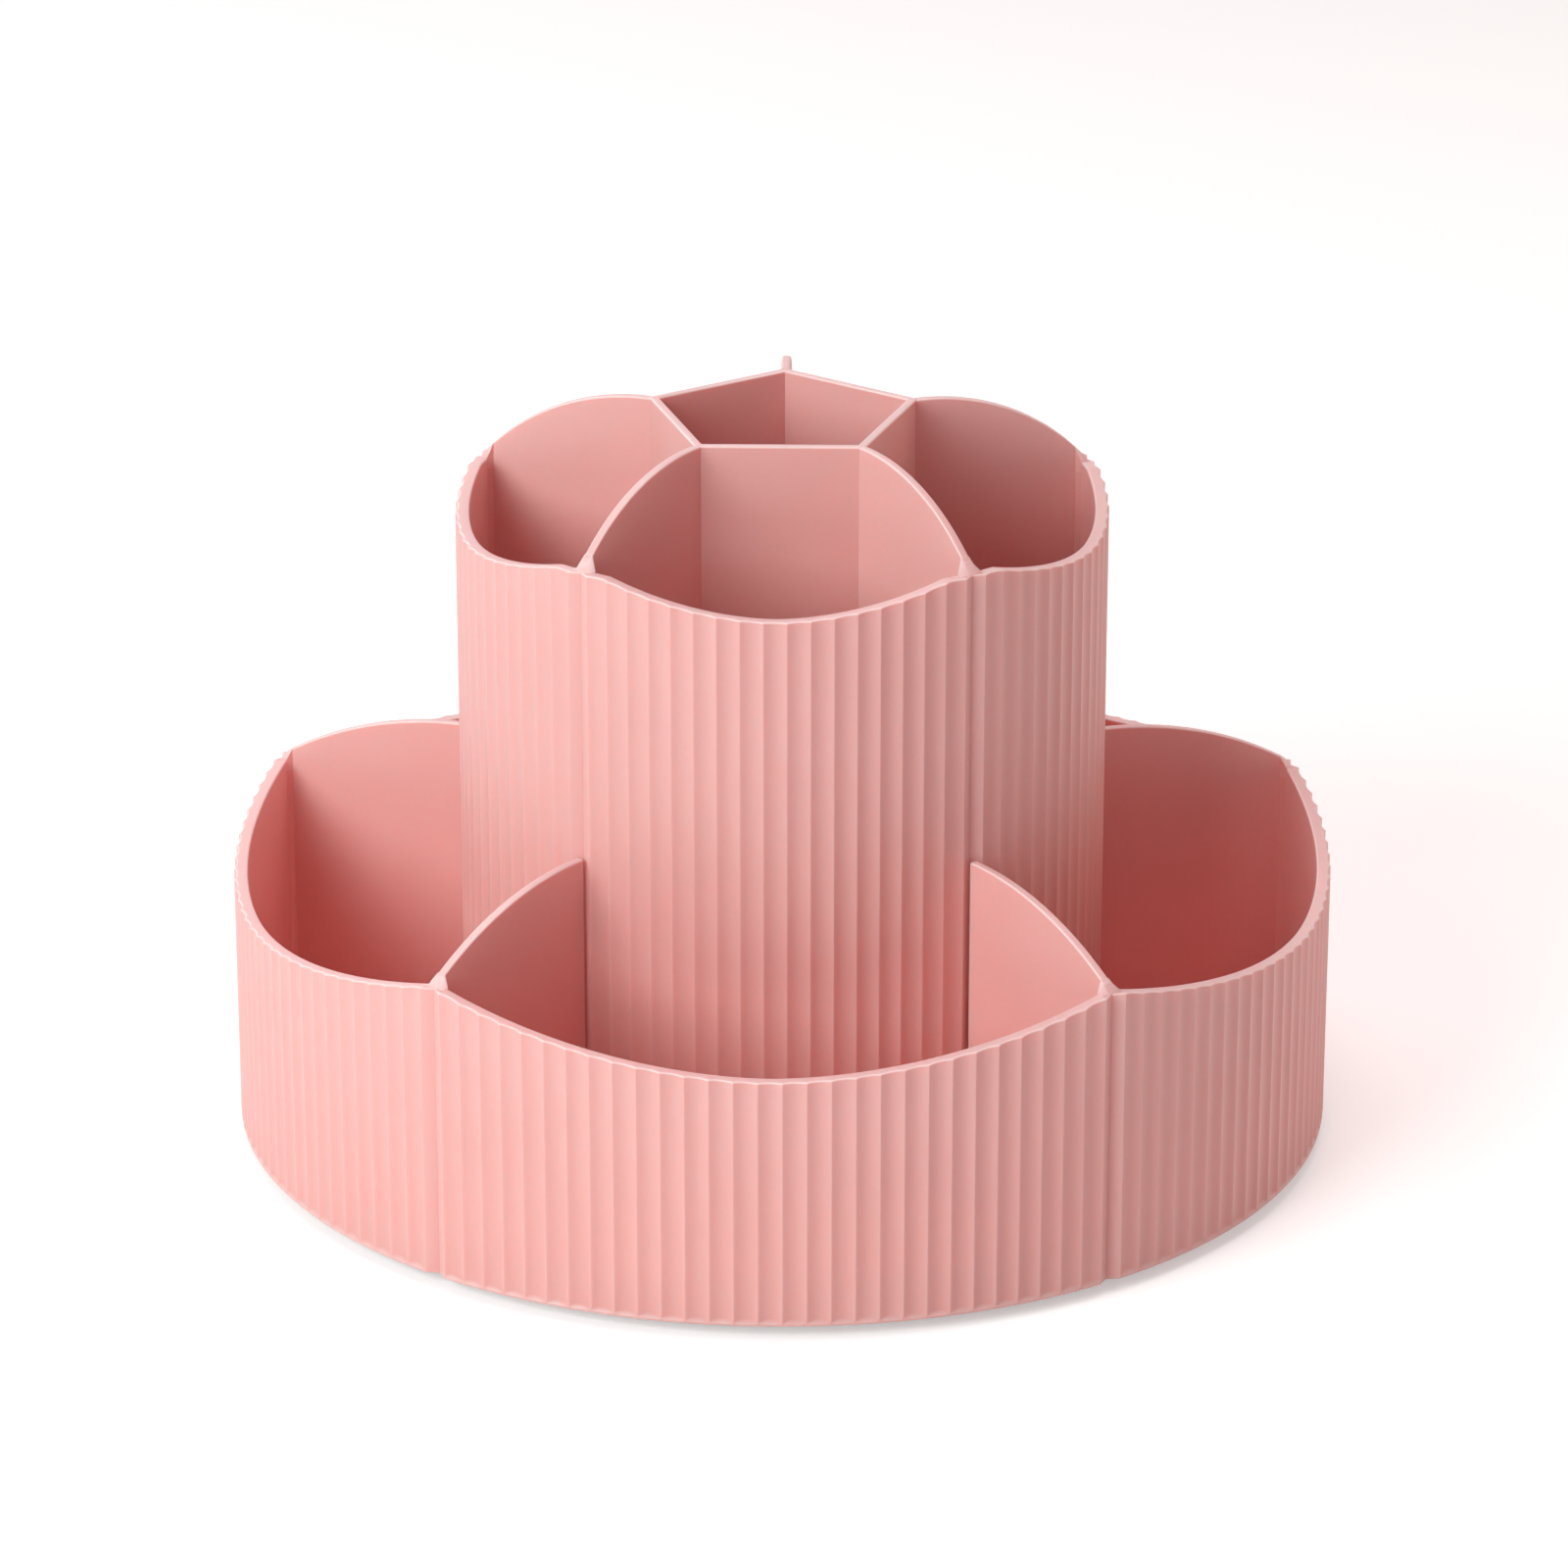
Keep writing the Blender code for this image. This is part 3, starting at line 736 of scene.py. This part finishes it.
def arch_height(radius, crown_radius, crown_height, end_radius, end_height):
    """Height of an arc that is level at its crown and falls to its end."""
    reach = end_radius - crown_radius
    drop = crown_height - end_height
    bend = (reach ** 2 + drop ** 2) / (2 * drop)
    return crown_height - bend + math.sqrt(bend ** 2 - (radius - crown_radius) ** 2)


def divider(name, angle, start, end, foot, top_at):
    """A plate along a radius whose top height follows a function of the radius."""
    loops = []
    for step in range(plate_steps + 1):
        radius = start + (end - start) * step / plate_steps
        middle = Vector((*polar(radius, angle), 0.0))
        across = Vector((*polar(1.0, angle + math.pi / 2), 0.0))
        section = plate_section(foot, top_at(radius))
        loops.append([middle + across * offset + Vector((0.0, 0.0, up)) for offset, up in section])
    return skin(name, loops, False)


def wall_bite(tier):
    """Radius inside the wall, clear of the notches, at which floors and ribs end."""
    return tier["radius"] - tier["notch_depth"] - (wall - tier["notch_depth"]) * bite_share


def tent(name, angle, tier, top_at):
    """A small tent that leads a divider's edge down over the wall to the notch and the rim."""
    face = tier["radius"] - wall
    corner = face - corner_fill * (1 - divider_half / tent_half)
    foot = tier["radius"] - tier["notch_depth"] - tent_lift
    rim = tier["rim"] + tent_lift
    low = tier["rim"] - tent_half
    # The first point of the skirt is double, so that every loop has five points.
    skirt = [(face, rim), (face, rim), (foot, rim), (foot, low), (face, low)]
    ridge = [(corner, top_at(corner)), (face, top_at(face)), (foot, rim), (foot, low), (corner, low)]
    along = Vector((*polar(1.0, angle), 0.0))
    across = Vector((*polar(1.0, angle + math.pi / 2), 0.0))
    stations = ((-tent_half, skirt), (-divider_half, ridge), (divider_half, ridge), (tent_half, skirt))
    loops = []
    for offset, corners in stations:
        loops.append([along * radius + across * offset + Vector((0.0, 0.0, up)) for radius, up in corners])
    return skin(name, loops, False)


print("plates are", 2 * divider_half * 1000, "mm thick")

# %% [markdown]
# The lower tray.
# The tray carries everything: wall, floor and five dividers, and on its underside the upper ball
# race, the spindle and stiffening ribs. Overall sizes are read from the working model, and the
# smaller ones are named here. The turned profile holds floor, locating rib, race and spindle in
# one line, so they are true to the axis.

# %% Sizes of the tray
tray_low, tray_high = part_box("lower_tray")
ball_low, ball_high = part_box("race_ball_01")
cage_low, cage_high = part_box("ball_cage")
spindle_screw_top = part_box("spindle_screw")[1].z
seat_gap = 0.0003
turned_steps = 160
tray = {
    "radius": tray_high.x, "bottom": tray_low.z, "rim": 0.0705, "dip": 0.0106,
    "crest": 0.0028, "flutes": 29, "flute_depth": 0.0006, "notch_depth": 0.0015,
}
cup_low, cup_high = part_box("upper_cup")
cup = {
    "radius": cup_high.x, "bottom": cup_low.z, "rim": 0.1505, "dip": 0.0060,
    "crest": 0.0067, "flutes": 17, "flute_depth": 0.00055, "notch_depth": 0.0013,
}
ball_radius = (ball_high.z - ball_low.z) / 2
ball_height = (ball_high.z + ball_low.z) / 2
race_radius = -(ball_high.y + ball_low.y) / 2
cup_corner_inset = 0.0077
race_half_width = 0.0040
race_depth = 0.00095
race_land = 2 * race_depth
tray_floor = 0.0025
tray_underside = ball_height + ball_radius + seat_gap + race_depth
tray_floor_top = tray_underside + tray_floor
cup_corner_radius = cup["radius"] - cup_corner_inset
locating_rib_height = 0.0030
locating_rib_wall = 0.0020
spindle_radius = 0.0060
spindle_bottom = 0.0053
pilot_radius = 0.00205
tray_crown_inset = 0.0045
tray_end_rise = 0.0020
tray_rib_drop = 0.0040
tray_rib_gap = 0.0015
rib_half = 0.00075
edge_break = 0.0003
print("tray", round(2 * tray["radius"] * 1000, 1), "mm across")
print("tray floor top at", round(tray_floor_top * 1000, 2), "mm")

# %% Floor, race and spindle of the tray
def race_groove(side):
    """Ball groove in section, from inside outwards; side is -1 below the balls and 1 above."""
    groove = ball_radius + seat_gap
    land = ball_radius + seat_gap - race_depth
    opening = math.acos(land / groove)
    points = []
    for step in range(2 * round_steps + 1):
        sweep = opening * (step / round_steps - 1)
        across = race_radius + groove * math.sin(sweep)
        points.append((across, ball_height + side * groove * math.cos(sweep)))
    return points


def tray_floor_form():
    """Turned form of the tray's middle, from the axis out to the wall."""
    face = tray["radius"] - wall
    end = wall_bite(tray)
    rib = cup_corner_radius - seat_gap
    rib_top = tray_floor_top + locating_rib_height
    land = tray_underside - race_land
    profile = [
        (0.0, tray_floor_top),
        (rib - locating_rib_wall, tray_floor_top),
        (rib - locating_rib_wall, rib_top - edge_break),
        (rib - locating_rib_wall + edge_break, rib_top),
        (rib - edge_break, rib_top),
        (rib, rib_top - edge_break),
        (rib, tray_floor_top),
        *arc(face - floor_fillet, tray_floor_top + floor_fillet, floor_fillet, -90, 0, round_steps),
        (end, tray_floor_top + floor_fillet),
        (end, tray_underside),
        (race_radius + race_half_width, tray_underside),
        (race_radius + race_half_width, land),
        *reversed(race_groove(1)),
        (race_radius - race_half_width, land),
        (race_radius - race_half_width, tray_underside),
        (spindle_radius, tray_underside),
        (spindle_radius, spindle_bottom + edge_break),
        (spindle_radius - edge_break, spindle_bottom),
        (pilot_radius, spindle_bottom),
        (pilot_radius, spindle_screw_top + seat_gap),
        (0.0, spindle_screw_top + seat_gap),
    ]
    return turned("tray_floor_form", profile, turned_steps)


def straight_rib(name, angle, start, end, bottom, top):
    """A plain rib along a radius, from one height to another."""
    along = Vector((*polar(1.0, angle), 0.0))
    across = Vector((*polar(rib_half, angle + math.pi / 2), 0.0))
    corners = ((-1, bottom), (1, bottom), (1, top), (-1, top))
    loops = []
    for radius in (start, end):
        loops.append([along * radius + across * side + Vector((0.0, 0.0, up)) for side, up in corners])
    return skin(name, loops, False)


def tray_rib(angle):
    """A stiffening rib under the tray's floor, from the race to the wall."""
    start = cage_high.x + tray_rib_gap
    bottom = tray_underside - tray_rib_drop
    top = tray_underside + tray_floor / 2
    return straight_rib("tray_rib", angle, start, wall_bite(tray), bottom, top)


print("race at radius", round(race_radius * 1000, 1), "mm, ball height", round(ball_height * 1000, 2), "mm")

# %% Build the tray
screw_steps = 24
boss_circle_radius = 0.044
screw_hole_radius = 0.0018


def tray_top(radius):
    """Height of a tray divider's edge."""
    crown = cup["radius"] + seat_gap + tray_crown_inset
    return arch_height(radius, crown, tray_high.z, tray["radius"] - wall, tray["rim"] + tray_end_rise)


def cylinder(name, radius, bottom, top, place):
    """An upright cylinder at a place, from one height to another."""
    loops = []
    for height in (bottom, top):
        loop = []
        for step in range(screw_steps):
            x, y = polar(radius, full_turn * step / screw_steps)
            loop.append((place[0] + x, place[1] + y, height))
        loops.append(loop)
    return skin(name, loops, False)


moulding = fluted_wall("lower_tray_moulding", tray)
forms = [tray_floor_form()]
start = cup["radius"] + seat_gap
end = tray["radius"] - wall + edge_break
for angle in notch_angles():
    forms.append(divider("tray_divider", angle, start, end, tray_floor_top, tray_top))
    forms.append(tent("tray_tent", angle, tray, tray_top))
for index in range(2 * lobe_count):
    forms.append(tray_rib(front_angle + full_turn * index / (2 * lobe_count)))
combine(moulding, forms, 'UNION')
holes = []
for angle in notch_angles():
    holes.append(cylinder("hole", screw_hole_radius, tray_underside / 2, tray_floor_top * 2,
                          polar(boss_circle_radius, angle)))
combine(moulding, holes, 'DIFFERENCE')
dress(moulding, pink, "turntable", "pink_plastic", "lower_tray")

# %% [markdown]
# The upper cup.
# The cup is the same family of shapes on a smaller circle: a fluted wall, a raised floor, a
# five-sided compartment in the middle and five dividers that flow out of its corners. Below the
# floor are five screw bosses with ribs. The pentagon is skinned from five-cornered loops, one for
# each point of the plate's section, so its softened edge turns the corners in one piece.

# %% Sizes and floor of the cup
pentagon_radius = 0.0304
cup_crown_inset = 0.0026
cup_end_rise = 0.0023
cup_floor = 0.0025
cup_floor_rise = 0.0375
cup_underside = tray_floor_top + cup_floor_rise
cup_floor_top = cup_underside + cup_floor
cup_rib_drop = 0.0120
boss_radius = 0.0045
boss_hole_depth = 0.0102


def cup_floor_form():
    """Turned floor of the cup."""
    face = cup["radius"] - wall
    end = wall_bite(cup)
    profile = [
        (0.0, cup_floor_top),
        *arc(face - floor_fillet, cup_floor_top + floor_fillet, floor_fillet, -90, 0, round_steps),
        (end, cup_floor_top + floor_fillet),
        (end, cup_underside),
        (0.0, cup_underside),
    ]
    return turned("cup_floor_form", profile, turned_steps)


def pentagon_form():
    """The five-sided wall in the middle, with a softened edge and a filleted foot."""
    loops = []
    for offset, up in plate_section(cup_floor_top, cup_high.z):
        corner = pentagon_radius + offset / math.cos(half_lobe)
        loops.append([(*polar(corner, angle), up) for angle in notch_angles()])
    return skin("pentagon_form", loops, True)


print("cup floor at", round(cup_floor_top * 1000, 2), "mm")

# %% Build the cup
def cup_top(radius):
    """Height of a cup divider's edge."""
    crown = pentagon_radius + cup_crown_inset
    crown_top = cup_high.z - edge_break / 10
    return arch_height(radius, crown, crown_top, cup["radius"] - wall, cup["rim"] + cup_end_rise)


def cup_rib(angle):
    """A rib from a screw boss to the wall."""
    bottom = cup_underside - cup_rib_drop
    top = cup_underside + cup_floor / 2
    return straight_rib("cup_rib", angle, boss_circle_radius, wall_bite(cup), bottom, top)


moulding = fluted_wall("upper_cup_moulding", cup)
forms = [cup_floor_form(), pentagon_form()]
holes = []
end = cup["radius"] - wall + edge_break
boss_top = cup_underside + cup_floor / 2
hole_top = cup["bottom"] + boss_hole_depth
for angle in notch_angles():
    place = polar(boss_circle_radius, angle)
    forms.append(divider("cup_divider", angle, pentagon_radius, end, cup_floor_top, cup_top))
    forms.append(tent("cup_tent", angle, cup, cup_top))
    forms.append(cup_rib(angle))
    forms.append(cylinder("cup_boss", boss_radius, cup["bottom"], boss_top, place))
    holes.append(cylinder("hole", screw_hole_radius, cup["bottom"] / 2, hole_top, place))
combine(moulding, forms, 'UNION')
combine(moulding, holes, 'DIFFERENCE')
dress(moulding, pink, "turntable", "pink_plastic", "upper_cup")

# %% [markdown]
# The base.
# The base plate stays still under the tray. It is a turned disc with a hub, the lower ball race, a
# low rim and spokes that stiffen it, and five round recesses for the rubber feet underneath. Only
# a dark slit of it shows from the front, but it is the whole picture from below.

# %% Base plate
base_low, base_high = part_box("base_plate")
foot_low, foot_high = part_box("foot_pad_1")
washer_low, washer_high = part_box("spindle_washer")
base_radius = base_high.x
base_floor = 0.0030
base_top = base_low.z + base_floor
base_rim_wall = 0.0020
base_rim_top = 0.0075
hub_bore = spindle_radius + seat_gap
hub_recess = washer_high.x + seat_gap
hub_wall = 0.0025
hub_radius = hub_recess + hub_wall
hub_face = 0.0056
foot_circle_radius = -(foot_low.y + foot_high.y) / 2
foot_radius = foot_high.x
edge_soft = 0.0005
spoke_count = 10
spoke_end_inset = 0.0033


def base_form():
    """Turned form of the base plate."""
    land = base_top + race_land
    profile = [
        (hub_bore, base_high.z),
        (hub_radius - edge_soft, base_high.z),
        (hub_radius, base_high.z - edge_soft),
        (hub_radius, base_top + edge_soft),
        (hub_radius + edge_soft, base_top),
        (race_radius - race_half_width, base_top),
        (race_radius - race_half_width, land),
        *race_groove(-1),
        (race_radius + race_half_width, land),
        (race_radius + race_half_width, base_top),
        (base_radius - base_rim_wall - edge_soft, base_top),
        (base_radius - base_rim_wall, base_top + edge_soft),
        (base_radius - base_rim_wall, base_rim_top - edge_soft),
        (base_radius - base_rim_wall + edge_soft, base_rim_top),
        (base_radius - edge_soft, base_rim_top),
        (base_radius, base_rim_top - edge_soft),
        *arc(base_radius - edge_soft, base_low.z + edge_soft, edge_soft, 0, -90, round_steps),
        (hub_recess + edge_soft, base_low.z),
        (hub_recess, base_low.z + edge_soft),
        (hub_recess, hub_face),
        (hub_bore, hub_face),
    ]
    return turned("base_plate_moulding", profile, turned_steps)


def spoke(angle):
    """A spoke on the base plate, from the hub to the race."""
    start = (hub_recess + hub_radius) / 2
    root = (base_low.z + base_top) / 2
    top = base_top + race_land - edge_break
    return straight_rib("spoke", angle, start, race_radius - spoke_end_inset, root, top)


plate = base_form()
spokes = [spoke(front_angle + full_turn * index / spoke_count) for index in range(spoke_count)]
combine(plate, spokes, 'UNION')
recesses = []
for index in range(lobe_count):
    place = polar(foot_circle_radius, front_angle + full_turn * index / lobe_count)
    recesses.append(cylinder("recess", foot_radius + seat_gap, -base_low.z, foot_high.z + seat_gap, place))
combine(plate, recesses, 'DIFFERENCE')
dress(plate, base_pink, "base", "base_plastic", "base_plate")

# %% Rubber feet
foot_steps = 40
foot_dish_share = 0.55


def foot_pad(node):
    """A rubber pad with a soft edge and a dished face, in the place of its node."""
    low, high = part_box(node)
    dish = foot_radius * foot_dish_share
    profile = [
        (0.0, high.z),
        (foot_radius, high.z),
        *arc(foot_radius - edge_soft, low.z + edge_soft, edge_soft, 0, -90, round_steps),
        (dish + edge_soft, low.z),
        (dish, low.z + edge_break),
        (0.0, low.z + edge_break),
    ]
    pad = turned(f"{node}_rubber", profile, foot_steps)
    pad.data.transform(Matrix.Translation(((low.x + high.x) / 2, (low.y + high.y) / 2, 0.0)))
    dress(pad, rubber, "base", "foot_rubber", node)


for index in range(lobe_count):
    foot_pad(f"foot_pad_{index + 1}")

# %% [markdown]
# The ball bearing.
# Twelve steel balls run between the two races, kept apart by a flat nylon cage. The cage turns at
# half the tray's speed, and every ball rolls on its own radius. They hide between base and tray,
# yet they are what the hand feels, so they get round balls and true pockets.

# %% Cage and balls
ball_count = 12
ball_segments = 32
ball_rings = 16


def sphere(name, radius, place):
    """A ball at a place."""
    form = bmesh.new()
    bmesh.ops.create_uvsphere(form, u_segments=ball_segments, v_segments=ball_rings, radius=radius,
                              matrix=Matrix.Translation(place))
    return mesh_piece(name, form)


def build_bearing():
    """The cage with its pockets, and the balls in them."""
    inner = 2 * race_radius - cage_high.x
    soft = edge_break
    profile = [
        (inner + soft, cage_high.z), (cage_high.x - soft, cage_high.z), (cage_high.x, cage_high.z - soft),
        (cage_high.x, cage_low.z + soft), (cage_high.x - soft, cage_low.z), (inner + soft, cage_low.z),
        (inner, cage_low.z + soft), (inner, cage_high.z - soft),
    ]
    cage = turned("ball_cage_moulding", profile, turned_steps)
    pockets = []
    for index in range(ball_count):
        node = f"race_ball_{index + 1:02d}"
        low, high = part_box(node)
        middle = (low + high) / 2
        pockets.append(sphere("pocket", ball_radius + seat_gap, middle))
        ball = sphere(f"{node}_steel", ball_radius, middle)
        dress(ball, ball_steel, f"ball_{index + 1:02d}", "ball_steel", node)
    combine(cage, pockets, 'DIFFERENCE')
    dress(cage, nylon, "cage", "cage_nylon", "ball_cage")


build_bearing()

# %% [markdown]
# Screws and washer.
# One short screw with a washer holds the spindle in the hub, and five longer ones hold the cup from
# below. Each has a pan head with a cross recess and a coarse thread for plastic. The thread could
# be swept along a helix; it is simpler to let the radius of a turned shank follow the helix.

# %% Screw shape
thread_pitch = 0.0012
thread_depth = 0.0003
rows_per_pitch = 6
recess_depth = 0.0011
recess_half = 0.00035
recess_mouth_shares = (0.62, 1.3)
recess_root_shares = (0.30, 0.7)
tip_share = 0.25
head_round = 0.0007
head_arc_end = -75
head_face_share = 0.55


def shank_loops(radius, bottom, tip):
    """Loops of a threaded shank that points up, with a tapered end."""
    rows = math.ceil((tip - bottom) / thread_pitch * rows_per_pitch)
    loops = []
    for row in range(rows + 1):
        height = bottom + (tip - bottom) * row / rows
        taper = min(1.0, (tip - height) / (2 * radius) + tip_share)
        loop = []
        for step in range(screw_steps):
            turn = (height - bottom) / thread_pitch - step / screw_steps
            crest = abs(2 * (turn % 1) - 1)
            reach = (radius - thread_depth * (1 - crest)) * taper
            loop.append((*polar(reach, full_turn * step / screw_steps), height))
        loops.append(loop)
    return loops


def head_loops(radius, bottom, top):
    """Loops of a domed pan head, from its face below to its flat top."""
    edge = arc(radius - head_round, bottom + head_round, head_round, 0, head_arc_end, round_steps)
    section = [(radius * head_face_share, bottom), *reversed(edge), (radius, top)]
    loops = []
    for distance, height in section:
        points = [polar(distance, full_turn * step / screw_steps) for step in range(screw_steps)]
        loops.append([(x, y, height) for x, y in points])
    return loops


def cross_recess(radius, bottom):
    """Two tapered blades that cut the cross recess; shares are of head radius and blade half."""
    levels = ((bottom - recess_depth, recess_mouth_shares), (bottom + recess_depth, recess_root_shares))
    blades = []
    for angle in (0.0, math.pi / 2):
        along = Vector((*polar(1.0, angle), 0.0))
        across = Vector((*polar(1.0, angle + math.pi / 2), 0.0))
        loops = []
        for up, (reach_share, half_share) in levels:
            reach = radius * reach_share
            half = recess_half * half_share
            corners = ((-reach, -half), (reach, -half), (reach, half), (-reach, half))
            loops.append([along * far + across * side + Vector((0.0, 0.0, up)) for far, side in corners])
        blades.append(skin("blade", loops, False))
    return blades


print("thread pitch", thread_pitch * 1000, "mm")

# %% Put in the screws
cup_screw_shank = 0.0015
spindle_screw_shank = 0.00175
screw_head_height = 0.0020


def screw(node, shank_radius, head_height):
    """A screw in the place of its node, head down."""
    low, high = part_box(node)
    head_radius = (high.x - low.x) / 2
    head_top = low.z + head_height
    loops = head_loops(head_radius, low.z, head_top) + shank_loops(shank_radius, head_top, high.z)
    piece = skin(f"{node}_steel", loops, False)
    combine(piece, cross_recess(head_radius, low.z), 'DIFFERENCE')
    piece.data.transform(Matrix.Translation(((low.x + high.x) / 2, (low.y + high.y) / 2, 0.0)))
    dress(piece, zinc, "turntable", "zinc_steel", node)


for index in range(lobe_count):
    screw(f"cup_screw_{index + 1}", cup_screw_shank, screw_head_height)
screw("spindle_screw", spindle_screw_shank, screw_head_height)

profile = [
    (pilot_radius, washer_high.z), (washer_high.x - edge_break, washer_high.z),
    (washer_high.x, washer_high.z - edge_break), (washer_high.x, washer_low.z + edge_break),
    (washer_high.x - edge_break, washer_low.z), (pilot_radius, washer_low.z),
]
dress(turned("spindle_washer_steel", profile, foot_steps), zinc, "turntable", "zinc_steel", "spindle_washer")
